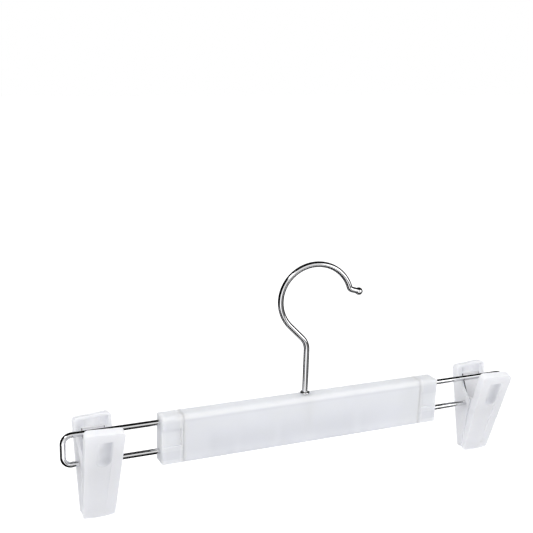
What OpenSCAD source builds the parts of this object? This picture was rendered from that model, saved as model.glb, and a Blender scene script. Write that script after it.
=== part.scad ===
// Skirt hanger: a hollow moulded bar on a swivelling wire hook, with a loop of wire out of each end.
// A two-jaw clip with a leaf spring slides and opens on each loop, whose lower leg is the clip's pivot.
// +X runs along the bar to the right of someone facing its front, +Y to its back and +Z up.
// The origin is where the rail touches the hook: the point of the hook's inner arc over the swivel axis.

/* [Bar] */
// Length of the bar with both end caps
bar_l = 157; // [140:1:200]
// Height of the bar
bar_h = 24.5; // [23.5:0.5:30]
// Thickness of the bar, front to back
bar_d = 10; // [9:0.5:13]
// Front and back wall of the bar
bar_wall = 1.6; // [1.2:0.1:2]
// Top wall of the bar
bar_top_wall = 2; // [1.5:0.1:3]
// Radius of the two long top edges
bar_edge_r = 2.4; // [1:0.1:3]
// Thickness of the cross ribs inside the bar
rib_t = 1.2; // [0.8:0.1:2]
// Diameter of the boss that the hook turns in
boss_d = 8; // [7:0.5:9]
// Height of that boss, down from the top of the bar
boss_l = 19.2; // [12:0.2:20]

/* [End caps] */
// Length of the cap's head, which shows flush with the bar
cap_head_l = 11; // [9:0.5:16]
// Length of the cap's plug, pushed into the bar
cap_plug_l = 13; // [8:0.5:18]
// Radius of the upright edges of the bar's ends
cap_edge_r = 1.2; // [0.5:0.1:2]
// Radius of the top corner of the bar's ends, seen from the front
cap_top_r = 1.6; // [0.5:0.1:2.4]
// Depth of the shallow pockets in the cap's front and back
pocket_deep = 0.8; // [0.4:0.1:1.2]
// Web left between the pocket and the bar
pocket_web = 1.2; // [0.8:0.1:3]

/* [Wire loops] */
// Diameter of the loop's wire
loop_wire_d = 2.8; // [2.4:0.1:3]
// Height of the lower leg over the bottom of the bar
loop_low_z = 5.5; // [5:0.1:7]
// Depth of the upper leg under the top of the bar
loop_cover = 4; // [3.8:0.1:4.5]
// Reach of the loop past the end of the bar, to the middle of its wire
loop_reach = 47; // [36:1:60]
// Radius of the loop's corners, to the middle of the wire
loop_bend_r = 4.2; // [3:0.1:6]
// Length of each leg inside its cap
loop_seat_l = 23; // [15:0.5:24]

/* [Hook] */
// Diameter of the hook's wire
hook_wire_d = 3; // [2.5:0.1:3.4]
// Radius of the hook's bow, to the middle of the wire
hook_bow_r = 18.65; // [15:0.05:24]
// Height of the bow's centre over the bottom of the bar
hook_bow_z = 74.85; // [70:0.05:95]
// Distance of the bow's centre from the swivel axis
hook_bow_x = 4; // [0:0.5:7]
// Lean of the neck between the shank and the bow
hook_neck_lean = 45; // [40:1:55]
// Radius of the bend between the shank and the neck
hook_neck_r = 9.4; // [6:0.1:12]
// Angle of the bow at which its free end starts, over the level of its centre
hook_end_angle = 20; // [0:1:30]
// Straight length between the bow and the outward bend of its free end
hook_lip_l = 0.5; // [0.3:0.1:3]
// Radius of that bend
hook_lip_r = 2.2; // [1.8:0.1:4]
// Turn of the same bend
hook_lip_turn = 55; // [30:1:80]
// Straight length after it, to the middle of the ball
hook_tip_l = 3.8; // [2.5:0.1:8]
// Diameter of the ball on the tip
hook_ball_d = 4; // [3.5:0.1:5]
// Turn of the hook on its swivel, which brings the tip to the front
hook_turn = 8; // [-45:1:45]
// Diameter of the collar that is upset on the wire over the bar
collar_d = 5; // [4.5:0.1:6.5]
// Height of the collar
collar_h = 1.5; // [1:0.1:2.5]
// Diameter of the head under the boss, which carries the bar
head_d = 5.4; // [4.5:0.1:6]
// Height of that head
head_h = 1.4; // [1:0.1:2.5]

/* [Clips] */
// Distance of the left clip's middle from the outer end of its loop
left_clip_inset = 16.5; // [13:0.5:37]
// Distance of the right clip's middle from the outer end of its loop
right_clip_inset = 15.5; // [13:0.5:37]
// Rock of the clips about the wire, which brings their tops to the front
clip_rock = 3.5; // [-6:0.5:6]
// Height of a front jaw over its pivot, along the jaw
jaw_up = 24.8; // [23:0.1:27]
// Height of a back jaw over its pivot, along the jaw
back_jaw_up = 21.6; // [21.6:0.1:24]
// Depth of a jaw under its pivot, along the jaw
jaw_down = 27.6; // [25:0.1:27.8]
// Distance of a jaw's outer face from the pivot
jaw_face = 9.9; // [9.8:0.1:10.4]
// Lean of a closed jaw from the upright
jaw_lean = 14.1; // [13.4:0.1:14.3]
// Width of a front jaw at its top
jaw_top_w = 19; // [18.4:0.1:23]
// Drop of the top edge toward the jaw's right-hand corner
jaw_top_drop = 1.2; // [0:0.1:1.6]
// Width of a jaw at its tip
jaw_tip_w = 15.8; // [15.2:0.1:20]
// Thickness of a jaw's plate
jaw_plate = 1.8; // [1.5:0.1:2]
// Thickness of a jaw's side walls
jaw_wall = 1.5; // [1.2:0.1:1.6]
// Radius of the top corners
jaw_top_r = 2; // [1.7:0.1:3]
// Radius of the bottom corners
jaw_tip_r = 2.4; // [1.7:0.1:3]
// Rise of the curve of the bottom edge
jaw_tip_bow = 0.8; // [0.4:0.1:1.5]
// Depth of the rim at the top
rim_top = 4.5; // [2.8:0.1:4.8]
// Depth of the rim beside the pivot
rim_mid = 5; // [4:0.1:5.2]
// Depth of the rim at the tip
rim_tip = 2.7; // [2.4:0.1:2.8]
// Radius of the outer ear round the pivot
ear_r = 3.6; // [3:0.1:3.7]
// Radius of the inner ear round the pivot
lug_r = 3.4; // [2.8:0.1:3.7]
// Thickness of the inner ear
lug_t = 1.25; // [1:0.05:1.5]
// Length of the gripping block at the tip
grip_l = 6.3; // [4:0.1:9]
// Teeth across the gripping block
grip_teeth = 4; // [2:1:6]
// Depth of the grooves between the teeth
grip_groove = 0.5; // [0.3:0.1:0.7]

/* [Thumb hollow] */
// Width of the hollow in a jaw's face
hollow_w = 7.2; // [6.4:0.1:7.6]
// Depth of the hollow
hollow_deep = 2.4; // [1.5:0.1:2.5]
// Level of the hollow's flat top over the pivot
hollow_top = 19.4; // [18:0.1:19.8]
// Level of the hollow's lowest point
hollow_low = 4.5; // [3:0.1:6]
// Wall behind the hollow
hollow_wall = 1.3; // [1:0.1:1.4]
// Depth of the flat panel between the rails of the face
panel_deep = 0.5; // [0.2:0.05:0.7]
// Width of each rail beside the panel
rail_w = 5.2; // [4:0.1:5.6]

/* [Springs] */
// Thickness of the leaf
leaf_t = 0.7; // [0.5:0.05:0.9]
// Radius of the bend under the pivot, to the middle of the leaf
leaf_bend_r = 2.3; // [2.1:0.1:2.6]
// Length of each leg, from the bend to its curl
leaf_leg_l = 15.2; // [13:0.1:16]
// Width of the leaf at its bend
leaf_bend_w = 9.6; // [8:0.1:9.7]
// Width of the leaf at its tips
leaf_tip_w = 12; // [10:0.1:12.2]
// Radius of the curl at the tips
leaf_curl_r = 1.1; // [0.8:0.1:1.5]
// Turn of that curl
leaf_curl_turn = 70; // [30:5:110]

/* [Fits] */
// Gap round the wire in the jaws' bores
pivot_fit = 0.08; // [0.05:0.01:0.1]
// Gap round the hook's shank in its boss
swivel_fit = 0.08; // [0.05:0.01:0.1]
// Play of the bar between the collar and the head
swivel_play = 0.1; // [0.05:0.01:0.3]
// Gap round the plug of a cap in the bar
plug_fit = 0.05; // [0.02:0.01:0.1]
// Gap between the gripping blocks of a closed clip
grip_gap = 0.3; // [0.2:0.05:0.6]
// Gap between the ears, side by side
ear_gap = 0.45; // [0.35:0.05:0.6]
// Gap between a spring's tip and its jaw
leaf_gap = 0.1; // [0.05:0.05:0.2]

/* [Hidden] */
$fn = 64;

steel = [0.78, 0.79, 0.81];
spring_steel = [0.45, 0.46, 0.48];
bar_plastic = [0.88, 0.89, 0.94];
cap_plastic = [0.82, 0.84, 0.91];
jaw_plastic = [0.86, 0.87, 0.91];

// Overrun of every cut
cut = 1;
// How far pieces of one moulding run into each other
bite = 0.2;
// Bent wire and leaf are drawn thinner than the straight stretches that they run into
bend_thinning = 0.01;
bend_run = 0.1;
// Round corners are drawn larger, so that they cross the sides of their outline
corner_swell = 0.01;

// Levels over the bottom of the bar
loop_high_z = bar_h - loop_cover;
loop_gap = loop_high_z - loop_low_z;
rail_z = hook_bow_z + sqrt(pow(hook_bow_r - hook_wire_d / 2, 2) - pow(hook_bow_x, 2));
boss_low_z = bar_h - boss_l;

// Stations along the bar
bar_end_x = bar_l / 2;
seam_x = bar_end_x - cap_head_l;
plug_end_x = seam_x - cap_plug_l;
loop_end_x = bar_end_x + loop_reach;
left_clip_x = left_clip_inset - loop_end_x;
right_clip_x = loop_end_x - right_clip_inset;
// Places of the cross ribs between the boss and the plugs
rib_place_shares = [-0.71, -0.31, 0.53];
// Ends of the caps' pockets, between the two legs of the wire
pocket_low_share = 0.23;
pocket_high_share = 0.83;

// Height at which the shank's bend starts, so that the neck meets the bow smoothly
neck_normal = at_angle(hook_neck_lean);
neck_z = (hook_bow_x * neck_normal.x + hook_bow_z * neck_normal.y - hook_bow_r
          - hook_neck_r * (1 - neck_normal.x)) / neck_normal.y;

// Jaw: depths are measured inwards from the pivot, so the outer face lies at -jaw_face
plate_y = -jaw_face + jaw_plate;
tip_mid_y = -jaw_down * tan(jaw_lean);
hollow_r = (pow(hollow_w / 2, 2) + pow(hollow_deep, 2)) / (2 * hollow_deep);
hollow_y = -jaw_face - (hollow_r - hollow_deep);
hollow_ball_z = hollow_low + hollow_w / 2;
bulge_r = hollow_r + hollow_wall;
tip_bow_r = (pow(jaw_tip_w / 2, 2) + pow(jaw_tip_bow, 2)) / (2 * jaw_tip_bow);
pivot_r = loop_wire_d / 2 + pivot_fit;
ear_x = jaw_half_w(0) - jaw_wall;
lug_x = ear_x - ear_gap;
// Levels at which the ears leave the rim and the plate
ear_top_share = 0.62;
lug_root_share = 0.23;
// Cross rib behind the face
brace_t = 0.8;
brace_deep = 1.2;

// Spring: lean of the legs, so that their tips lie along the backs of the hollows
leaf_reach = -(hollow_y + bulge_r) - leaf_t / 2 - leaf_gap;
leaf_lean = jaw_lean + asin(leaf_reach / norm([leaf_bend_r, leaf_leg_l])) - atan(leaf_bend_r / leaf_leg_l);

function jaw_half_w(z) = jaw_tip_w / 2 + (jaw_top_w - jaw_tip_w) / 2 * (z + jaw_down) / (jaw_up + jaw_down);
function turned(v, a) = [v.x * cos(a) - v.y * sin(a), v.x * sin(a) + v.y * cos(a)];
// Point where a line from p touches a circle of radius r round the pivot, on the given side
function touch(p, r, side) = turned(p * (r / norm(p)), side * acos(r / norm(p)));
function unit(v) = v / norm(v);
// Turn by which a bend of radius r runs into each straight stretch beside it
function run_angle(r) = bend_run / r * 180 / PI;
function at_angle(a) = [cos(a), sin(a)];
// Outward normal of the side from a to b of an outline that runs clockwise
function out(a, b) = turned(unit(b - a), 90);
// Centre of the circle that rounds corner i of a clockwise outline
function corner_centre(points, radii, i) =
    let (n = len(points), p = points[i], before = out(points[(i + n - 1) % n], p), after = out(p, points[(i + 1) % n]))
    p - (before + after) * (radii[i] / (1 + before * after));

// Drawings stand up as seen from the front, or from the right with x as depth
module front_view(depth) { rotate([90, 0, 0]) linear_extrude(depth, center = true) children(); }
module side_view(width) { rotate([90, 0, 90]) linear_extrude(width, center = true) children(); }
module from_rail() { translate([0, 0, -rail_z]) children(); }

// A clockwise outline with straight sides and round corners, drawn in by a wall
module round_cornered(points, radii, inset = 0) {
    n = len(points);
    centres = [for (i = [0 : n - 1]) corner_centre(points, radii, i)];
    polygon([for (i = [0 : n - 1], j = [i + n - 1, i])
        centres[i] + (radii[i] - inset) * out(points[j % n], points[(j + 1) % n])]);
    for (i = [0 : n - 1]) translate(centres[i]) circle(radii[i] - inset + corner_swell);
}

// Round wire, drawn in the plane of its bends
module wire_line(from, to, d) {
    along = to - from;
    translate(from) rotate([0, 0, atan2(along.y, along.x)]) rotate([0, 90, 0]) cylinder(h = norm(along), d = d);
}
module wire_arc(centre, r, start, sweep, d) {
    run = run_angle(r);
    translate(centre) rotate([0, 0, start - run]) rotate_extrude(angle = sweep + 2 * run)
        translate([r, 0]) circle(d = d - 2 * bend_thinning);
}

module hook_wire() {
    neck_start = [0, neck_z];
    neck_centre = [-hook_neck_r, neck_z];
    neck_end = neck_centre + hook_neck_r * neck_normal;
    bow_centre = [hook_bow_x, hook_bow_z];
    bow_start = bow_centre - hook_bow_r * neck_normal;
    bow_start_angle = 180 + hook_neck_lean;
    bow_end = bow_centre + hook_bow_r * at_angle(hook_end_angle);
    lip_start = bow_end + hook_lip_l * at_angle(hook_end_angle - 90);
    lip_centre = lip_start + hook_lip_r * at_angle(hook_end_angle);
    lip_end_angle = 180 + hook_end_angle + hook_lip_turn;
    lip_end = lip_centre + hook_lip_r * at_angle(lip_end_angle);
    tip = lip_end + hook_tip_l * at_angle(lip_end_angle + 90);
    rotate([90, 0, 0]) {
        wire_line([0, boss_low_z - swivel_play], neck_start, hook_wire_d);
        wire_arc(neck_centre, hook_neck_r, 0, hook_neck_lean, hook_wire_d);
        wire_line(neck_end, bow_start, hook_wire_d);
        wire_arc(bow_centre, hook_bow_r, hook_end_angle, bow_start_angle - hook_end_angle, hook_wire_d);
        wire_line(bow_end, lip_start, hook_wire_d);
        wire_arc(lip_centre, hook_lip_r, 180 + hook_end_angle, hook_lip_turn, hook_wire_d);
        wire_line(lip_end, tip, hook_wire_d);
        translate(tip) sphere(d = hook_ball_d);
    }
}

module collar() {
    translate([0, 0, bar_h + swivel_play]) rotate_extrude() {
        square([(collar_d - collar_h) / 2, collar_h]);
        translate([(collar_d - collar_h) / 2, collar_h / 2]) intersection() {
            circle(d = collar_h);
            translate([-collar_h / 4, -collar_h / 2]) square([collar_h, collar_h]);
        }
    }
}

module hook() color(steel) from_rail() rotate([0, 0, -hook_turn]) {
    hook_wire();
    collar();
    translate([0, 0, boss_low_z - swivel_play - head_h]) cylinder(h = head_h, d = head_d);
}

// Cross-section of the bar and of its channel, drawn in by the walls
module bar_section(wall = 0, top_wall = 0) {
    w = bar_d - 2 * wall;
    h = bar_h - top_wall;
    r = max(bar_edge_r - wall, bite);
    translate([-w / 2, 0]) square([w, h - r]);
    translate([r - w / 2, 0]) square([w - 2 * r, h]);
    for (side = [-1, 1]) translate([side * (w / 2 - r), h - r]) circle(r);
}

module bar() color(bar_plastic) from_rail() difference() {
    union() {
        difference() {
            side_view(2 * seam_x) bar_section();
            translate([0, 0, -cut]) side_view(2 * seam_x + 2 * cut) bar_section(bar_wall, bar_top_wall - cut);
        }
        intersection() {
            side_view(2 * seam_x) bar_section();
            union() {
                for (share = rib_place_shares)
                    translate([share * plug_end_x - rib_t / 2, -bar_d / 2, 0]) cube([rib_t, bar_d, bar_h]);
                translate([0, 0, boss_low_z]) cylinder(h = boss_l, d = boss_d);
            }
        }
    }
    cylinder(h = bar_h + cut, r = hook_wire_d / 2 + swivel_fit);
}

// Right-hand cap; the left-hand one is turned round
module end_cap() {
    head_outline = [[-cap_head_l, bar_h], [0, bar_h], [0, 0], [-cap_head_l, 0]];
    plan = [[-cap_head_l - cap_edge_r, bar_d / 2], [0, bar_d / 2], [0, -bar_d / 2],
            [-cap_head_l - cap_edge_r, -bar_d / 2]];
    pocket_low = loop_low_z + pocket_low_share * loop_gap;
    pocket_high = loop_low_z + pocket_high_share * loop_gap;
    translate([bar_end_x, 0, 0]) difference() {
        union() {
            intersection() {
                translate([-cap_head_l / 2, 0, 0]) side_view(cap_head_l) bar_section();
                linear_extrude(bar_h) round_cornered(plan, [for (p = plan) cap_edge_r]);
                front_view(bar_d) {
                    translate([-cap_head_l, 0]) square([cap_head_l - cap_top_r, bar_h]);
                    translate([-cap_head_l, 0]) square([cap_head_l, bar_h - cap_top_r]);
                    translate([-cap_top_r, bar_h - cap_top_r]) circle(cap_top_r);
                }
            }
            translate([-cap_head_l - (cap_plug_l - bite) / 2, 0, 0]) side_view(cap_plug_l + bite)
                bar_section(bar_wall + plug_fit, bar_top_wall + plug_fit);
        }
        for (z = [loop_low_z, loop_high_z])
            translate([-loop_seat_l, 0, z]) rotate([0, 90, 0]) cylinder(h = loop_seat_l + cut, d = loop_wire_d);
        for (side = [-1, 1])
            translate([-cap_head_l + pocket_web, side * (bar_d / 2 - pocket_deep + cut) - cut, pocket_low])
                cube([cap_head_l, 2 * cut, pocket_high - pocket_low]);
    }
}
module end_cap_right() color(cap_plastic) from_rail() end_cap();
module end_cap_left() color(cap_plastic) from_rail() rotate([0, 0, 180]) end_cap();

module wire_loop() {
    seat_x = bar_end_x - loop_seat_l;
    bend_x = loop_end_x - loop_bend_r;
    rotate([90, 0, 0]) {
        wire_line([seat_x, loop_low_z], [bend_x, loop_low_z], loop_wire_d);
        wire_line([seat_x, loop_high_z], [bend_x, loop_high_z], loop_wire_d);
        wire_arc([bend_x, loop_low_z + loop_bend_r], loop_bend_r, -90, 90, loop_wire_d);
        wire_arc([bend_x, loop_high_z - loop_bend_r], loop_bend_r, 0, 90, loop_wire_d);
        wire_line([loop_end_x, loop_low_z + loop_bend_r], [loop_end_x, loop_high_z - loop_bend_r], loop_wire_d);
    }
}
module wire_loop_right() color(steel) from_rail() wire_loop();
module wire_loop_left() color(steel) from_rail() rotate([0, 0, 180]) wire_loop();

// Face outline of a jaw: a shield that narrows to a bowed tip, drawn in by a wall
module jaw_outline(up, inset = 0) {
    low = -jaw_down - bend_run;
    top_half = jaw_half_w(up);
    corners = [[-top_half, up], [top_half, up - jaw_top_drop], [jaw_tip_w / 2, low], [-jaw_tip_w / 2, low]];
    intersection() {
        round_cornered(corners, [jaw_top_r, jaw_top_r, jaw_tip_r, jaw_tip_r], inset);
        translate([0, tip_bow_r - jaw_down]) union() {
            circle(tip_bow_r - inset, $fn = 4 * $fn);
            translate([-jaw_top_w, 0]) square([2 * jaw_top_w, jaw_up + jaw_down]);
        }
    }
}

// Side drawings of a jaw, with x as depth and y along the jaw
module rim_side(up) {
    polygon([[-jaw_face, up], [rim_top - jaw_face, up], [rim_mid - jaw_face, 0],
             [rim_tip - jaw_face, -jaw_down], [-jaw_face, -jaw_down]]);
}
module ear_side() {
    leave = [rim_top - jaw_face, ear_top_share * jaw_up];
    tip = [tip_mid_y - grip_gap / 2, -jaw_down];
    polygon([[-jaw_face, leave.y], leave, touch(leave, ear_r, -1), [0, 0], touch(tip, ear_r, 1), tip,
             [-jaw_face, -jaw_down]]);
    circle(ear_r + corner_swell);
}
module lug_side() {
    root = [plate_y - bite, lug_root_share * jaw_up];
    low_root = [root.x, -root.y];
    polygon([root, touch(root, lug_r, -1), [0, 0], touch(low_root, lug_r, 1), low_root]);
    circle(lug_r + corner_swell);
}

// Trough of the hollow, or of the wall behind it: a round groove with a ball end
module trough(r, top) {
    translate([0, hollow_y, hollow_ball_z]) {
        cylinder(h = top - hollow_ball_z, r = r);
        intersection() {
            sphere(r);
            translate([-r, -r, -r]) cube([2 * r, 2 * r, r + bite]);
        }
    }
}

module grip_block(up) {
    low_half = jaw_half_w(-jaw_down) - jaw_wall;
    high_half = jaw_half_w(grip_l - jaw_down) - jaw_wall;
    tooth = grip_l / grip_teeth;
    difference() {
        intersection() {
            front_view(2 * jaw_face) jaw_outline(up, bite);
            translate([0, (plate_y - bite) / 2, 0]) front_view(-plate_y + bite)
                polygon([[ear_gap - high_half, grip_l - jaw_down], [high_half + bite, grip_l - jaw_down],
                         [low_half + bite, -jaw_down], [ear_gap - low_half, -jaw_down]]);
        }
        rotate([-jaw_lean, 0, 0]) {
            translate([-jaw_tip_w, -grip_gap / 2, -2 * jaw_down]) cube([2 * jaw_tip_w, 2 * jaw_face, 2 * jaw_down]);
            for (i = [1 : grip_teeth - 1])
                translate([0, -grip_gap / 2, i * tooth - jaw_down / cos(jaw_lean)]) side_view(2 * jaw_tip_w)
                    polygon([[0, -grip_groove], [0, grip_groove], [-grip_groove, 0]]);
        }
    }
}

// Front and back jaw differ only in their height: the long ear is on the right, the short ear on the left
module jaw(up) {
    difference() {
        union() {
            difference() {
                intersection() {
                    front_view(4 * jaw_face) jaw_outline(up);
                    union() {
                        side_view(2 * jaw_top_w) rim_side(up);
                        translate([jaw_top_w / 2 + jaw_tip_w / 4, 0, 0]) side_view(jaw_top_w) ear_side();
                    }
                }
                translate([0, plate_y + 2 * jaw_face, 0]) front_view(4 * jaw_face) jaw_outline(up, jaw_wall);
            }
            translate([-lug_x + lug_t / 2, 0, 0]) side_view(lug_t) lug_side();
            intersection() {
                trough(bulge_r, hollow_top + hollow_wall);
                translate([-jaw_top_w / 2, plate_y - bite, -jaw_down]) cube([jaw_top_w, jaw_face, jaw_up + jaw_down]);
            }
            translate([-ear_x - bite, plate_y - bite, -brace_t / 2])
                cube([2 * ear_x + 2 * bite, brace_deep + bite, brace_t]);
            grip_block(up);
        }
        trough(hollow_r, hollow_top);
        face_panel();
        rotate([0, 90, 0]) cylinder(h = 2 * jaw_top_w, r = pivot_r, center = true);
    }
}

// The panel between the rails starts at the hollow's top and runs out to nothing above the tip
module face_panel() {
    run_out = grip_l / 4 - jaw_down;
    top_half = jaw_half_w(hollow_top) - rail_w;
    low_half = jaw_half_w(run_out) - rail_w;
    intersection() {
        front_view(4 * jaw_face)
            polygon([[-top_half, hollow_top], [top_half, hollow_top], [low_half, run_out], [-low_half, run_out]]);
        side_view(jaw_top_w)
            polygon([[-jaw_face - cut, hollow_top], [panel_deep - jaw_face, hollow_top], [panel_deep - jaw_face, 0],
                     [-jaw_face, run_out], [-jaw_face - cut, run_out]]);
    }
}

// The leaf: a bend under the pivot and two legs that curl in at their tips
module leaf_leg() {
    across = at_angle(-leaf_lean);
    foot = leaf_bend_r * across;
    tip = foot + leaf_leg_l * at_angle(90 - leaf_lean);
    side_view(leaf_tip_w)
        polygon([for (p = [[foot, -1], [tip, -1], [tip, 1], [foot, 1]]) p[0] + p[1] * leaf_t / 2 * across]);
    side_view(leaf_tip_w)
        translate(tip - leaf_curl_r * across) leaf_arc(leaf_curl_r, -leaf_lean, leaf_curl_turn);
}
module leaf_arc(r, start, sweep) {
    run = run_angle(r);
    steps = 4;
    half_t = leaf_t / 2 - bend_thinning;
    intersection() {
        difference() {
            circle(r + half_t);
            circle(r - half_t);
        }
        polygon([[0, 0], for (i = [0 : steps]) 2 * steps * r * at_angle(start - run + (sweep + 2 * run) * i / steps)]);
    }
}

module spring() {
    top_z = leaf_bend_r + leaf_leg_l;
    intersection() {
        union() {
            leaf_leg();
            mirror([0, 1, 0]) leaf_leg();
            side_view(leaf_tip_w) leaf_arc(leaf_bend_r, 180 + leaf_lean, 180 - 2 * leaf_lean);
        }
        front_view(4 * jaw_face)
            polygon([[-leaf_bend_w / 2, -2 * leaf_bend_r], [-leaf_bend_w / 2, leaf_bend_r], [-leaf_tip_w / 2, top_z],
                     [leaf_tip_w / 2, top_z], [leaf_bend_w / 2, leaf_bend_r], [leaf_bend_w / 2, -2 * leaf_bend_r]]);
    }
}

module on_pivot(x) { from_rail() translate([x, 0, loop_low_z]) rotate([clip_rock, 0, 0]) children(); }
module front_jaw(x) { color(jaw_plastic) on_pivot(x) rotate([jaw_lean, 0, 0]) jaw(jaw_up); }
module back_jaw(x) { color(jaw_plastic) on_pivot(x) rotate([0, 0, 180]) rotate([jaw_lean, 0, 0]) jaw(back_jaw_up); }

module left_front_jaw() front_jaw(left_clip_x);
module left_back_jaw() back_jaw(left_clip_x);
module left_spring() color(spring_steel) on_pivot(left_clip_x) spring();
module right_front_jaw() front_jaw(right_clip_x);
module right_back_jaw() back_jaw(right_clip_x);
module right_spring() color(spring_steel) on_pivot(right_clip_x) spring();

hook();
bar();
end_cap_left();
end_cap_right();
wire_loop_left();
wire_loop_right();
left_front_jaw();
left_back_jaw();
left_spring();
right_front_jaw();
right_back_jaw();
right_spring();
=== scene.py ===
# %% [markdown]
# # A clip hanger, dressed and lit
# The CAD model already holds every rigid piece of the hanger at its real size. This lesson gives those
# pieces their finishes: frosted moulded plastic, bright plated wire and plain spring steel. It builds the
# two leaf springs anew, as bent strips with a piece for each leg, and lights the hanger like a catalogue photo.

# %% Load the imported hanger
import math

import bmesh
import bpy
from mathutils import Matrix, Vector


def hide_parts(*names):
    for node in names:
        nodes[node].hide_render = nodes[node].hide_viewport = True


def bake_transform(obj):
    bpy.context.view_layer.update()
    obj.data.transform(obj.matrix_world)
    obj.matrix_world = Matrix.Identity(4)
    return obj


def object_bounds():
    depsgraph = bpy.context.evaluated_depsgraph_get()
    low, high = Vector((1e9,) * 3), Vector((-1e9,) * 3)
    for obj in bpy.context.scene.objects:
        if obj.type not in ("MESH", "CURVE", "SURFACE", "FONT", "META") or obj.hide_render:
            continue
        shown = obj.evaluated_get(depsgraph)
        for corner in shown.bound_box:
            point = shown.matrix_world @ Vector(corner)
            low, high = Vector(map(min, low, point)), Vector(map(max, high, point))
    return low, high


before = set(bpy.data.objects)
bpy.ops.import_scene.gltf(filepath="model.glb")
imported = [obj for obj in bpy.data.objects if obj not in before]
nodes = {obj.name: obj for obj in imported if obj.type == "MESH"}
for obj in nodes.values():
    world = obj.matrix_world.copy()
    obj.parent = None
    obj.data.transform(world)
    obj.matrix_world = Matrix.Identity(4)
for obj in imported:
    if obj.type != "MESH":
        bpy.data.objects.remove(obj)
MM = 0.001
cad_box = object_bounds()
print("pieces:", ", ".join(sorted(nodes)))
print("box in mm:", [round(v / MM, 1) for corner in cad_box for v in corner])

# %% [markdown]
# ## The camera
# The photograph looks down on the hanger from the front left. A camera could be aimed by eye, but here its
# place, its direction and its field of view were worked out from the bar's corners and the wires, so it is
# set from a place and three angles. A long lens keeps the far clip nearly as large as the near one.

# %% Set the camera
CAMERA_PLACE = Vector((-209.16, -410.5, 116.67)) * MM
CAMERA_TURN, CAMERA_DOWN, CAMERA_ROLL = 24.30, 14.19, 1.67
LENS_PIXELS, PICTURE_PIXELS, SENSOR = 950.0, 533.0, 36.0
NEAREST, FARTHEST = 0.01, 20.0

camera_data = bpy.data.cameras.new("camera")
camera_data.sensor_width = SENSOR
camera_data.lens = LENS_PIXELS / PICTURE_PIXELS * SENSOR
camera_data.clip_start, camera_data.clip_end = NEAREST, FARTHEST
camera = bpy.data.objects.new("camera", camera_data)
bpy.context.scene.collection.objects.link(camera)
camera.matrix_world = (Matrix.Translation(CAMERA_PLACE)
                       @ Matrix.Rotation(math.radians(-CAMERA_TURN), 4, "Z")
                       @ Matrix.Rotation(math.radians(90 - CAMERA_DOWN), 4, "X")
                       @ Matrix.Rotation(math.radians(CAMERA_ROLL), 4, "Z"))
bpy.context.scene.camera = camera
bpy.context.scene.view_settings.view_transform = "Standard"
print("lens:", round(camera_data.lens, 1), "mm")

# %% [markdown]
# ## Helpers for node materials
# Every finish below is a small network of nodes. It could be drawn by hand in the shader editor, but a
# script gives the same network each time. These helpers make an empty material, add a node, link a socket
# to an input and send a shader to the surface, so that a finish reads as a short list of what it does.

# %% Node helpers
def new_material(name):
    """An empty node material and its tree."""
    material = bpy.data.materials.new(name)
    material.use_nodes = True
    tree = material.node_tree
    tree.nodes.clear()
    return material, tree


def add(tree, kind, **values):
    """A node with its properties and its inputs set by name, an underscore standing for a space."""
    node = tree.nodes.new(kind)
    for key, value in values.items():
        if hasattr(node, key):
            setattr(node, key, value)
        else:
            node.inputs[key.replace("_", " ")].default_value = value
    return node


def link(tree, socket, node, name):
    """Links an output socket to a node's input."""
    tree.links.new(socket, node.inputs[name])


def finish_with(tree, shader):
    """Sends a shader's socket to the surface."""
    link(tree, shader, add(tree, "ShaderNodeOutputMaterial"), "Surface")


print("helpers:", new_material.__name__, add.__name__, link.__name__, finish_with.__name__)

# %% [markdown]
# ## Helpers for sums and colours
# Where a finish changes from place to place, the change is worked out by nodes. One helper makes a Math node
# from sockets or plain numbers, and one mixes two colours by a share, such as the output of a noise.

# %% Sums and colours
def maths(tree, operation, a, b=None):
    """One Math node; each value is a socket or a plain number."""
    node = add(tree, "ShaderNodeMath", operation=operation)
    for slot, value in enumerate((a, b)):
        if isinstance(value, bpy.types.NodeSocket):
            link(tree, value, node, slot)
        elif value is not None:
            node.inputs[slot].default_value = value
    return node.outputs[0]


def between(tree, share, first, last):
    """A colour between two, by a share from 0 to 1."""
    mix = add(tree, "ShaderNodeMix", data_type="RGBA", A=(*first, 1), B=(*last, 1))
    link(tree, share, mix, "Factor")
    return mix.outputs["Result"]


print("helpers:", maths.__name__, between.__name__)

# %% [markdown]
# ## The white room
# The hanger hangs in front of plain white. A very bright room would show white too, but it would wash out the
# pale plastic. So the rays that see the room, from the camera or by way of a mirrored or see-through surface,
# find pure white, while the light that the room gives to the pieces is a little weaker.

# %% The room
ROOM_LIGHT = 0.98
scene = bpy.context.scene


def seeing_rays(tree):
    """A socket that is 1 for camera, mirrored and passing rays, and 0 for the rays that only light things."""
    rays = add(tree, "ShaderNodeLightPath").outputs
    direct = maths(tree, "MAXIMUM", rays["Is Camera Ray"], rays["Is Glossy Ray"])
    return maths(tree, "MAXIMUM", direct, rays["Is Transmission Ray"])


world = bpy.data.worlds.new("studio")
world.use_nodes = True
scene.world = world
sky = world.node_tree
sky.nodes.clear()
strength = add(sky, "ShaderNodeMapRange", To_Min=ROOM_LIGHT, To_Max=1.0)
link(sky, seeing_rays(sky), strength, "Value")
air = add(sky, "ShaderNodeBackground", Color=(1, 1, 1, 1))
link(sky, strength.outputs["Result"], air, "Strength")
link(sky, air.outputs["Background"], add(sky, "ShaderNodeOutputWorld"), "Surface")
print("light of the room:", ROOM_LIGHT)

# %% [markdown]
# ## The floor
# The hanger hangs in the air, so the floor lies well below it and catches only a faint shadow. It is a matt
# pale sheet with the slight cloudiness of paper. A whiter sheet alone would still look grey in this plain
# light, so for the rays that see it a little light of its own lifts it to white, and the shadow still shows.

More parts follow.
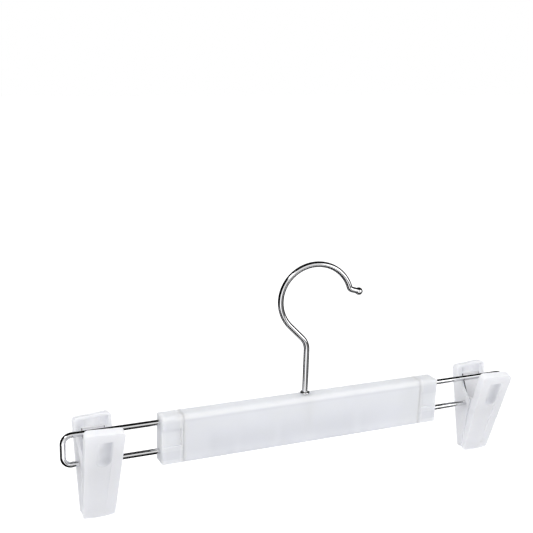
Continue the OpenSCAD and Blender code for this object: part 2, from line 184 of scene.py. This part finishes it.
# %% The floor
FLOOR_DROP, FLOOR_SIZE = 0.42, 16.0
PAPER_DARK, PAPER_LIGHT = (0.70, 0.70, 0.71), (0.73, 0.73, 0.74)
PAPER_CLOUDS, PAPER_LIFT = 4.0, 0.6

bpy.ops.mesh.primitive_plane_add(size=FLOOR_SIZE, location=(0, 0, cad_box[0].z - FLOOR_DROP))
floor = bpy.context.object
floor.name = "floor"
white_floor, tree = new_material("white_floor")
paper = add(tree, "ShaderNodeTexNoise", Scale=PAPER_CLOUDS, Detail=4.0)
matt = add(tree, "ShaderNodeBsdfDiffuse")
link(tree, between(tree, paper.outputs["Fac"], PAPER_DARK, PAPER_LIGHT), matt, "Color")
lift = add(tree, "ShaderNodeEmission", Color=(1, 1, 1, 1), Strength=PAPER_LIFT)
lifted = add(tree, "ShaderNodeAddShader")
link(tree, matt.outputs["BSDF"], lifted, 0)
link(tree, lift.outputs["Emission"], lifted, 1)
pick = add(tree, "ShaderNodeMixShader")
link(tree, seeing_rays(tree), pick, "Fac")
link(tree, matt.outputs["BSDF"], pick, 1)
link(tree, lifted.outputs["Shader"], pick, 2)
finish_with(tree, pick.outputs["Shader"])
floor.data.materials.append(white_floor)
print("floor at", round(floor.location.z / MM), "mm")

# %% [markdown]
# ## The lamps
# One large soft lamp stands high at the front left, as the bright tops and left sides of the clips show.
# A weaker one fills from the right, so that no side falls into a hard shadow. Area lamps were chosen over
# points of light, because the plastic has no sharp highlights.

# %% Lamps
LOOK_AT = Vector((0, 0, -0.07))
LAMP_SIZE = 0.8
LAMPS = {"key_lamp": ((-0.9, -0.6, 1.0), 7), "fill_lamp": ((0.7, -1.0, 0.2), 3)}

for name, (place, watts) in LAMPS.items():
    data = bpy.data.lights.new(name, "AREA")
    data.shape, data.size, data.energy = "SQUARE", LAMP_SIZE, watts
    lamp = bpy.data.objects.new(name, data)
    scene.collection.objects.link(lamp)
    lamp.location = place
    lamp.rotation_euler = (LOOK_AT - Vector(place)).to_track_quat("-Z", "Y").to_euler()
    print(name, "gives", watts, "W from", place)

# %% [markdown]
# ## Cards for the wire
# Bright wire looks blank in an all-white room. A photographer stands black cards round it, out of view, and
# the wire then shows a dark line along each of its edges with a white line between them. Here only mirrored
# rays see the cards: they cast no shadow and take no light from the plastic.

# %% A card and its tone
def card_tone(name, grey):
    """A card's even tone."""
    material, tree = new_material(name)
    glow = add(tree, "ShaderNodeEmission", Color=(grey, grey, grey, 1), Strength=1.0)
    finish_with(tree, glow.outputs["Emission"])
    return material


def card(name, corners, tone):
    """A flat card through four corners, which only mirrored rays see."""
    mesh = bpy.data.meshes.new(name)
    mesh.from_pydata([Vector(corner) for corner in corners], [], [(0, 1, 2, 3)])
    mesh.materials.append(tone)
    board = bpy.data.objects.new(name, mesh)
    scene.collection.objects.link(board)
    board.visible_camera = board.visible_diffuse = board.visible_shadow = False
    board.visible_transmission = board.visible_volume_scatter = False


black, dim, grey = card_tone("black_card", 0.006), card_tone("dim_card", 0.14), card_tone("grey_card", 0.20)
print("tones:", black.name, dim.name, grey.name)

# %% [markdown]
# ## Place the cards
# Black cards lie above and below and stand at the left, at the right and in part of the back. The rest of the
# back is closed with dim cards: left open, it would give the wire no dark edge in a view from behind, and a
# black one would make the hook too dark. A grey card low in front softens the lower side of the wire.

# %% Place the cards
CARD_LEFT, CARD_RIGHT, CARD_FOOT, CARD_TOP, CEILING = -1.6, 2.2, -0.52, 0.99, 1.0
LYING = [  # name, front, back, height, tone
    ("card_above", -1.0, 1.6, CEILING, black),
    ("card_below", -0.7, 0.35, CARD_FOOT, black),
    ("card_back_low", 0.35, 1.6, CARD_FOOT, dim),
]
STANDING = [  # name, one end, other end, top, tone
    ("card_left", (-1.2, -0.9), (-0.9, 1.3), CARD_TOP, black),
    ("card_right", (1.3, -0.95), (1.3, 0.63), CARD_TOP, black),
    ("card_behind", (-0.92, 1.3), (-0.37, 1.3), CARD_TOP, black),
    ("card_back", (-0.37, 1.3), (1.3, 0.63), CARD_TOP, dim),
    ("card_front", (-0.25, -1.2), (1.1, -0.65), -0.1, grey),
]

for name, front, back, height, tone in LYING:
    card(name, [(CARD_LEFT, front, height), (CARD_RIGHT, front, height),
                (CARD_RIGHT, back, height), (CARD_LEFT, back, height)], tone)
for name, one, other, top, tone in STANDING:
    card(name, [(*one, CARD_FOOT), (*other, CARD_FOOT), (*other, top), (*one, top)], tone)
print("cards:", len(LYING) + len(STANDING))

# %% [markdown]
# ## Frosted plastic
# The bar, the caps and the jaws are moulded from a milky, see-through plastic. Plain glass would show too much
# of what lies behind and plain white paint would look like chalk. So the skin scatters light under its surface
# and lets a little pass roughly, and a share of light shines straight through from the other side, which keeps
# thin walls light. A fine grain stands for the frosted mould, and a slow cloudiness for the flow of the melt.

# %% Mould grain
GRAINS, GRAIN_DEPTH = 2600.0, 0.0001
ROUGH_FROM, ROUGH_TO = 0.32, 0.46


def mould_grain(tree, place, grain, skin):
    """A fine unevenness of roughness and height, as a frosted mould leaves it."""
    fine = add(tree, "ShaderNodeTexNoise", Scale=GRAINS, Detail=2.0)
    link(tree, place, fine, "Vector")
    rough = add(tree, "ShaderNodeMapRange", To_Min=ROUGH_FROM, To_Max=ROUGH_TO)
    link(tree, fine.outputs["Fac"], rough, "Value")
    bump = add(tree, "ShaderNodeBump", Strength=grain, Distance=GRAIN_DEPTH)
    link(tree, fine.outputs["Fac"], bump, "Height")
    link(tree, rough.outputs["Result"], skin, "Roughness")
    link(tree, bump.outputs["Normal"], skin, "Normal")


print("grain of about", round(1 / GRAINS / MM, 2), "mm")

# %% [markdown]
# ## The plastic itself
# The scattering reaches a little over a millimetre, most of the way through a wall. The colour is clouded by
# a slow noise and then multiplied by painted light and shade, set by the place in the object: the painted shade
# of what lies behind a wall, and painted light and shade on forms that the frosted wall blurs. That could be
# painted on a picture, but a function of the place in the object needs no picture and fits the forms to the
# millimetre.

# %% Frosted plastic
CLOUDS, CLOUD_SHADE = 90.0, 0.975
SCATTER_REACH, SCATTER_TINT = 0.0012, (1.0, 1.0, 1.05)


def frosted_plastic(name, colour, clear, glow, grain, inside):
    """Milky moulded plastic: scattering, some rough transmission and a share of light shining through."""
    material, tree = new_material(name)
    place = add(tree, "ShaderNodeTexCoord").outputs["Object"]
    cloud = add(tree, "ShaderNodeTexNoise", Scale=CLOUDS, Detail=3.0, Roughness=0.5)
    link(tree, place, cloud, "Vector")
    axes = add(tree, "ShaderNodeSeparateXYZ")
    link(tree, place, axes, "Vector")
    shaded = add(tree, "ShaderNodeVectorMath", operation="MULTIPLY")
    link(tree, between(tree, cloud.outputs["Fac"], [CLOUD_SHADE * c for c in colour], colour), shaded, 0)
    # inside gives the painted light and shade by place, which multiplies the colour
    link(tree, inside(tree, axes.outputs), shaded, 1)
    skin = add(tree, "ShaderNodeBsdfPrincipled", IOR=1.45, Transmission_Weight=clear, Subsurface_Weight=1.0,
               Subsurface_Radius=SCATTER_TINT, Subsurface_Scale=SCATTER_REACH)
    link(tree, shaded.outputs[0], skin, "Base Color")
    mould_grain(tree, place, grain, skin)
    through = add(tree, "ShaderNodeBsdfTranslucent")
    link(tree, shaded.outputs[0], through, "Color")
    blend = add(tree, "ShaderNodeMixShader", Fac=glow)
    link(tree, skin.outputs["BSDF"], blend, 1)
    link(tree, through.outputs["BSDF"], blend, 2)
    finish_with(tree, blend.outputs["Shader"])
    return material


print("scattering reaches", SCATTER_REACH / MM, "mm")

# %% [markdown]
# ## Tones by place
# The painted light and shade of what shows through a wall is mostly a change of tone along one axis. A ramp
# with stops in millimetres writes such a row as a plain list, and a smooth step marks where one zone passes
# into the next.

# %% Tones by place
def spread(tree, source, low, high, first, last):
    """Turns a distance in mm into a smooth change from one value to another."""
    fade = add(tree, "ShaderNodeMapRange", interpolation_type="SMOOTHSTEP",
               From_Min=low * MM, From_Max=high * MM, To_Min=first, To_Max=last)
    link(tree, source, fade, "Value")
    return fade.outputs["Result"]


def along(tree, source, span, stops):
    """A row of tones: each stop is a place in mm and its tone, with straight changes between."""
    low, high = span
    run = add(tree, "ShaderNodeMapRange", From_Min=low * MM, From_Max=high * MM)
    link(tree, source, run, "Value")
    ramp = add(tree, "ShaderNodeValToRGB")
    link(tree, run.outputs["Result"], ramp, "Fac")
    tones = ramp.color_ramp.elements
    tones.remove(tones[-1])
    for i, (where, tone) in enumerate(stops):
        share = (where - low) / (high - low)
        stop = tones.new(share) if i else tones[0]
        stop.position, stop.color = share, (tone, tone, tone, 1)
    return ramp.outputs["Color"]


def only_where(tree, share, tone):
    """A tone where the share is full, passing into no change where the share is nothing."""
    mix = add(tree, "ShaderNodeMix", data_type="FLOAT", A=1.0)
    link(tree, share, mix, "Factor")
    link(tree, tone, mix, "B")
    return mix.outputs["Result"]


print("helpers:", spread.__name__, along.__name__, only_where.__name__)

# %% [markdown]
# ## The bar
# The bar is hollow and open below, with cross ribs and a boss for the hook inside. Through its wall the
# chambers between the ribs show a little darker toward the bottom, and a thin dark line marks where the flat
# face passes into the rounding of the top. These forms are real in the CAD model, but the frosted wall blurs
# them more than in the photo, so their light and shade are painted at the same places: painted shade in the
# chambers, painted dark lines at the crease and along the bottom edge, a painted lighter band on the rounding
# and painted light in a rim at each end.

# %% Plastic of the bar
BAR_SPAN, HEIGHT_SPAN = (-80, 80), (-92, -66)
CHAMBER_TOP, CHAMBER_LOW = -74, -85
# Painted shade: darker in the chambers between the ribs, lighter where a rib stands behind the wall.
PAINTED_CHAMBER_SHADE = [(-77, 1.0), (-56, 0.98), (-52, 0.925), (-43, 0.93), (-39, 0.955), (-36, 0.93), (-20, 0.935),
            (-17, 0.97), (-14, 0.93), (-5, 0.945), (0, 0.965), (6, 0.94), (25, 0.93), (29, 0.97),
            (33, 0.94), (46, 0.97), (60, 1.0), (77, 1.0)]
# Painted dark lines along the bottom edge and at the crease under the top, and a painted lighter band on the
# rounding.
BAR_LEVEL_SHADING = [(-91.5, 0.95), (-90.9, 0.92), (-90.2, 0.97), (-88.8, 0.98), (-86, 0.96), (-71.2, 0.97),
              (-70.3, 0.93), (-69.8, 0.93), (-69.3, 1.0), (-67.6, 1.0), (-67.2, 0.97)]
# Painted light: a lighter rim at each end of the bar.
BAR_END_LIGHT = [(-68, 1.03), (-66.6, 1.03), (-65.8, 1.0), (65.8, 1.0), (66.6, 1.03), (68, 1.03)]


def bar_painted_shading(tree, axes):
    """Painted shade in chambers between the ribs, painted light and shade in levels up the wall, painted light
    at each end.
    """
    # the painted chamber shade fades in toward the bottom of the bar
    deep = spread(tree, axes["Z"], CHAMBER_TOP, CHAMBER_LOW, 0, 1)
    chamber_shade = only_where(tree, deep, along(tree, axes["X"], BAR_SPAN, PAINTED_CHAMBER_SHADE))
    levels = along(tree, axes["Z"], HEIGHT_SPAN, BAR_LEVEL_SHADING)
    end_light = along(tree, axes["X"], BAR_SPAN, BAR_END_LIGHT)
    return maths(tree, "MULTIPLY", maths(tree, "MULTIPLY", chamber_shade, levels), end_light)


bar_plastic = frosted_plastic("bar_plastic", (0.925, 0.937, 0.972), clear=0.12, glow=0.25, grain=0.08,
                              inside=bar_painted_shading)
print("made", bar_plastic.name, "with", len(PAINTED_CHAMBER_SHADE), "stops along it")

# %% [markdown]
# ## The end caps
# Each cap is a full head with a plug behind it, and has a shallow pocket in its front and in its back, between
# the two legs of the wire. The pocket shows as a lighter field with a bright line at its end, both painted
# light, and painted shade darkens the levels where the wire's legs lie behind the wall. The tones are written
# once, by the distance from the seam, for both caps.

# %% Plastic of the caps
SEAM_X, CAP_SPAN = 67.5, (0, 12)
# Painted light and shade of the pocket by the distance from the seam, with a painted bright line at its end.
CAP_POCKET_SHADING = [(0, 1.03), (1.0, 1.03), (1.1, 1.05), (1.9, 1.05), (2.2, 0.985), (8.6, 0.985), (9.4, 1.01),
            (12, 1.01)]
# Painted shade at the levels where the wire's legs lie behind the wall.
CAP_WIRE_SHADE = [(-91.5, 0.99), (-89.6, 1.0), (-89.3, 0.925), (-85.2, 0.935), (-84.9, 0.99), (-75.3, 0.985),
              (-75, 0.95), (-70.3, 0.96), (-69.6, 1.0), (-66.5, 1.0)]


def cap_painted_shading(tree, axes):
    """Painted light and shade outward from the seam and up the cap."""
    from_seam = maths(tree, "SUBTRACT", maths(tree, "ABSOLUTE", axes["X"]), SEAM_X * MM)
    across = along(tree, from_seam, CAP_SPAN, CAP_POCKET_SHADING)
    return maths(tree, "MULTIPLY", across, along(tree, axes["Z"], HEIGHT_SPAN, CAP_WIRE_SHADE))


cap_plastic = frosted_plastic("cap_plastic", (0.92, 0.933, 0.97), clear=0.15, glow=0.25, grain=0.08,
                              inside=cap_painted_shading)
print("made", cap_plastic.name, "with its seam at", SEAM_X, "mm")

# %% [markdown]
# ## Where the clips hang
# Both clips turn about the lower leg of their loop and hang rocked by a few degrees. They don't stand quite
# evenly: both are half a millimetre further right. The hollow's shading and the springs both need these places.

# %% Places of the clips
PIVOT_Z, ROCK, JAW_LEAN = -86.03, 3.5, 14.1
CLIP_OUT, CLIP_SHIFT = 109.5, 0.5
CLIPS = {"left": CLIP_SHIFT - CLIP_OUT, "right": CLIP_SHIFT + CLIP_OUT}


def turned(tree, a, b, turn):
    """Two distances as measured along axes that are turned by an angle."""
    c, s = math.cos(turn), math.sin(turn)
    first = maths(tree, "ADD", maths(tree, "MULTIPLY", a, c), maths(tree, "MULTIPLY", b, s))
    second = maths(tree, "ADD", maths(tree, "MULTIPLY", a, -s), maths(tree, "MULTIPLY", b, c))
    return first, second


def in_jaw(tree, axes):
    """Distances in a front jaw's own axes: to its right, back into it, and up from its pivot."""
    to_side = maths(tree, "MULTIPLY", maths(tree, "SIGN", axes["X"]), -CLIP_OUT * MM)
    right = maths(tree, "SUBTRACT", maths(tree, "ADD", to_side, axes["X"]), CLIP_SHIFT * MM)
    height = maths(tree, "SUBTRACT", axes["Z"], PIVOT_Z * MM)
    back, up = turned(tree, axes["Y"], height, math.radians(ROCK + JAW_LEAN))
    return right, back, up


print("clips at", CLIPS, "mm, rocked by", ROCK, "degrees")

# %% [markdown]
# ## The jaws
# The outer face of each jaw has a thumb hollow, a round groove with a ball end. Its form is in the CAD model,
# but light that scatters in the thin wall behind it hides its depth. So the floor of the front hollows is
# shaded by a tone, toward the right-hand side and toward the low end. The tone's outline follows the groove: it
# fades out at a set distance from the groove's middle line, and so it is round at the ball end too.

# %% Plastic of the jaws
FACE, FLOOR_FROM, FLOOR_TO = -9.9, (0.15, 0.7), (-7.2, -6.8)
HOLLOW_HALF, HOLLOW_TOP, HOLLOW_MIDDLE, HOLLOW_BLUR = 3.6, 19.4, 8.1, 0.5
SHADE_SIDE, SHADE_FROM, SHADE_LOW, LOW_RANGE = 0.82, -2.0, 0.9, (4.5, 10.5)


def groove_outline(tree, right, up):
    """1 inside the groove's outline and 0 outside it."""
    low = maths(tree, "MINIMUM", maths(tree, "SUBTRACT", up, HOLLOW_MIDDLE * MM), 0.0)
    squares = maths(tree, "ADD", maths(tree, "MULTIPLY", low, low), maths(tree, "MULTIPLY", right, right))
    off = maths(tree, "SQRT", squares)
    return maths(tree, "MULTIPLY", spread(tree, off, HOLLOW_HALF, HOLLOW_HALF + HOLLOW_BLUR, 1, 0),
                 spread(tree, up, HOLLOW_TOP, HOLLOW_TOP + HOLLOW_BLUR, 1, 0))


def jaw_hollow(tree, axes):
    """The shading on the floor of a front jaw's thumb hollow."""
    right, back, up = in_jaw(tree, axes)
    behind_face = spread(tree, back, FACE + FLOOR_FROM[0], FACE + FLOOR_FROM[1], 0, 1)
    on_floor = maths(tree, "MULTIPLY", behind_face, spread(tree, back, *FLOOR_TO, 1, 0))
    shade = maths(tree, "MULTIPLY", spread(tree, right, SHADE_FROM, HOLLOW_HALF, 1.0, SHADE_SIDE),
                  spread(tree, up, *LOW_RANGE, SHADE_LOW, 1.0))
    return only_where(tree, maths(tree, "MULTIPLY", on_floor, groove_outline(tree, right, up)), shade)


jaw_plastic = frosted_plastic("jaw_plastic", (0.955, 0.962, 0.988), clear=0.15, glow=0.35, grain=0.12,
                              inside=jaw_hollow)
print("made", jaw_plastic.name, "with a hollow", 2 * HOLLOW_HALF, "mm wide")

# %% [markdown]
# ## Bright plated wire and spring steel
# The hook and the loops are bent from steel wire with a bright plating. A perfect mirror would look false, so
# the shine is a little duller in patches, as handling leaves it, and a faint bump stands for the uneven wire.
# The leaf springs are dull steel with a pale, oiled skin. They come from the same nodes with little bare metal,
# and their long edges are painted near black.

# %% Metals
PATCH_SHADE, WAVE_HEIGHT = 0.88, 0.0002


def metal_finish(name, colour, rough, patches, waves, bare=1.0):
    """Metal whose shine is a little uneven; a share of bare metal under one stands for a dull, oiled skin."""
    material, tree = new_material(name)
    haze = add(tree, "ShaderNodeTexNoise", Scale=patches, Detail=4.0)
    link(tree, add(tree, "ShaderNodeTexCoord").outputs["Object"], haze, "Vector")
    shine = add(tree, "ShaderNodeMapRange", To_Min=rough[0], To_Max=rough[1])
    link(tree, haze.outputs["Fac"], shine, "Value")
    bump = add(tree, "ShaderNodeBump", Strength=waves, Distance=WAVE_HEIGHT)
    link(tree, haze.outputs["Fac"], bump, "Height")
    tone = between(tree, haze.outputs["Fac"], [PATCH_SHADE * c for c in colour], colour)
    metal = add(tree, "ShaderNodeBsdfPrincipled", Metallic=bare)
    link(tree, tone, metal, "Base Color")
    link(tree, shine.outputs["Result"], metal, "Roughness")
    link(tree, bump.outputs["Normal"], metal, "Normal")
    finish_with(tree, metal.outputs["BSDF"])
    return material


plated_wire = metal_finish("plated_wire", (0.80, 0.80, 0.81), (0.02, 0.06), patches=120.0, waves=0.015)
spring_steel = metal_finish("spring_steel", (0.88, 0.88, 0.90), (0.34, 0.46), patches=900.0, waves=0.1,
                            bare=0.12)
# A painted near-black tone for the faces of the strip's long edges.
painted_dark_edge = metal_finish("painted_dark_edge", (0.06, 0.06, 0.065), (0.34, 0.46), patches=900.0, waves=0.1,
                            bare=0.9)
print("metals:", plated_wire.name, spring_steel.name, painted_dark_edge.name)

# %% [markdown]
# ## Dress the CAD pieces
# A piece of the CAD model keeps its shape and gets a finish by filling its material slots. Moulded edges are
# never knife-sharp, so the jaws and the caps also get a small bevel. It is a modifier, which leaves the CAD
# mesh as it is. That mesh comes in as loose triangles, so a weld joins them before the bevel looks for edges.

# %% Finishes and soft edges
FINISHES = {
    "hook": plated_wire, "wire_loop_left": plated_wire, "wire_loop_right": plated_wire,
    "bar": bar_plastic, "end_cap_left": cap_plastic, "end_cap_right": cap_plastic,
    "left_front_jaw": jaw_plastic, "left_back_jaw": jaw_plastic,
    "right_front_jaw": jaw_plastic, "right_back_jaw": jaw_plastic,
}
SOFT_EDGE = {jaw_plastic: 0.45, cap_plastic: 0.02}
WELD_GAP, SHARP_EDGE = 0.01, 38


def soften(piece, width):
    """Softly rounded edges, as a mould leaves them."""
    weld = piece.modifiers.new("weld", "WELD")
    weld.merge_threshold = WELD_GAP * MM
    bevel = piece.modifiers.new("soft_edges", "BEVEL")
    bevel.width, bevel.segments = width * MM, 3
    bevel.limit_method, bevel.angle_limit = "ANGLE", math.radians(SHARP_EDGE)


for name, finish in FINISHES.items():
    nodes[name].data.materials.clear()
    nodes[name].data.materials.append(finish)
    if finish in SOFT_EDGE:
        soften(nodes[name], SOFT_EDGE[finish])
print("dressed:", len(FINISHES), "pieces")

# %% [markdown]
# ## The leaf springs
# Each clip is closed by one strip of spring steel, bent round the lower wire into a V whose curled tips press
# the jaws apart at the top. When the clip is squeezed, each leg bends with its jaw. Here each leg is a piece of
# its own. Its line is half the bend, a straight leg and a curl, in the sizes of the CAD spring, whose legs lean
# so that their tips lie along the hollows' backs.

# %% The line of a leg
BEND_R, LEG_L, CURL_R, CURL_TURN, LEAF_LEAN = 2.3, 15.2, 1.1, 70, 27.46
BEND_STEPS, LEG_STEPS, CURL_STEPS = 12, 24, 12


def on_arc(middle, radius, angle):
    """A point of an arc and the direction in which the strip runs there."""
    return middle[0] + radius * math.cos(angle), middle[1] + radius * math.sin(angle), angle + math.pi / 2


def leaf_line():
    """Depth, height and direction of each point of a leg, from the middle of the bend to the tip."""
    line = [on_arc((0, 0), BEND_R, math.radians(-90 + (90 - LEAF_LEAN) * i / BEND_STEPS))
            for i in range(BEND_STEPS + 1)]
    up = math.radians(90 - LEAF_LEAN)
    foot = line[-1]
    for i in range(1, LEG_STEPS + 1):
        run = LEG_L * i / LEG_STEPS
        line.append((foot[0] + run * math.cos(up), foot[1] + run * math.sin(up), up))
    side = math.radians(-LEAF_LEAN)
    middle = (line[-1][0] - CURL_R * math.cos(side), line[-1][1] - CURL_R * math.sin(side))
    line += [on_arc(middle, CURL_R, side + math.radians(CURL_TURN) * i / CURL_STEPS)
             for i in range(1, CURL_STEPS + 1)]
    return line


print("points along a leg:", len(leaf_line()))

# %% [markdown]
# ## Sweep the strip
# A curve with a bevel would give a round wire, so the flat strip is swept by hand: a thin rectangle with
# rounded long edges at every point of the line, wider at the tips, and faces between one row and the next.

# %% The strip
LEAF_T, BEND_W, TIP_W, ROUND, ROUND_T = 0.7, 9.6, 12.0, 0.4, 0.4


def strip_profile(half):
    """The corners of the strip's section: across in mm, and through it in shares of half its thickness."""
    inner = half - ROUND
    return ((-inner, 1), (inner, 1), (half, ROUND_T), (half, -ROUND_T),
            (inner, -1), (-inner, -1), (-half, -ROUND_T), (-half, ROUND_T))


def sweep_leg(strip, way):
    """Rows of corners along a leg and the faces between them; way is -1 for a front leg, 1 for a back one."""
    rows = []
    for y, z, turn in leaf_line():
        share = min(max(z / (BEND_R + LEG_L), 0), 1)
        row = []
        for x, t in strip_profile((BEND_W + (TIP_W - BEND_W) * share) / 2):
            d = t * LEAF_T / 2
            corner = Vector((x, way * (y + d * math.sin(turn)), z - d * math.cos(turn)))
            row.append(strip.verts.new(corner * MM))
        rows.append(row)
    for a, b in zip(rows, rows[1:]):
        for i in range(len(a)):
            j = (i + 1) % len(a)
            strip.faces.new((a[i], a[j], b[j], b[i]))
    strip.faces.new(rows[0])
    strip.faces.new(reversed(rows[-1]))


print("corners of the strip's section:", len(strip_profile(BEND_W / 2)))

# %% [markdown]
# ## Put the legs on the clips
# Each leg is moved to its clip, and gets the steel on its faces and a painted near-black tone on its long
# edges.

# %% Build the springs
EDGE_SIDE = 0.35


def leaf_leg(name, place, way):
    """One leg of a spring, in its place on the clip."""
    strip = bmesh.new()
    sweep_leg(strip, way)
    bmesh.ops.recalc_face_normals(strip, faces=strip.faces)
    bmesh.ops.transform(strip, matrix=place, verts=strip.verts)
    mesh = bpy.data.meshes.new(name)
    strip.to_mesh(mesh)
    strip.free()
    mesh.materials.append(spring_steel)
    mesh.materials.append(painted_dark_edge)
    for face in mesh.polygons:
        # the faces of the long edges get the painted near-black tone
        long_edge = abs(face.normal.x) > EDGE_SIDE
        face.use_smooth, face.material_index = not long_edge, int(long_edge)
    leg = bpy.data.objects.new(name, mesh)
    scene.collection.objects.link(leg)
    return leg


for side, clip_x in CLIPS.items():
    pivot = Vector((clip_x, 0, PIVOT_Z)) * MM
    place = Matrix.Translation(pivot) @ Matrix.Rotation(math.radians(ROCK), 4, "X")
    for jaw, way in (("front", -1), ("back", 1)):
        leg = leaf_leg(f"{side}_spring_{jaw}_leg", place, way)
        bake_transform(leg)
        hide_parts(f"{side}_spring")
        print(leg.name, [round(v / MM, 1) for v in leg.dimensions])
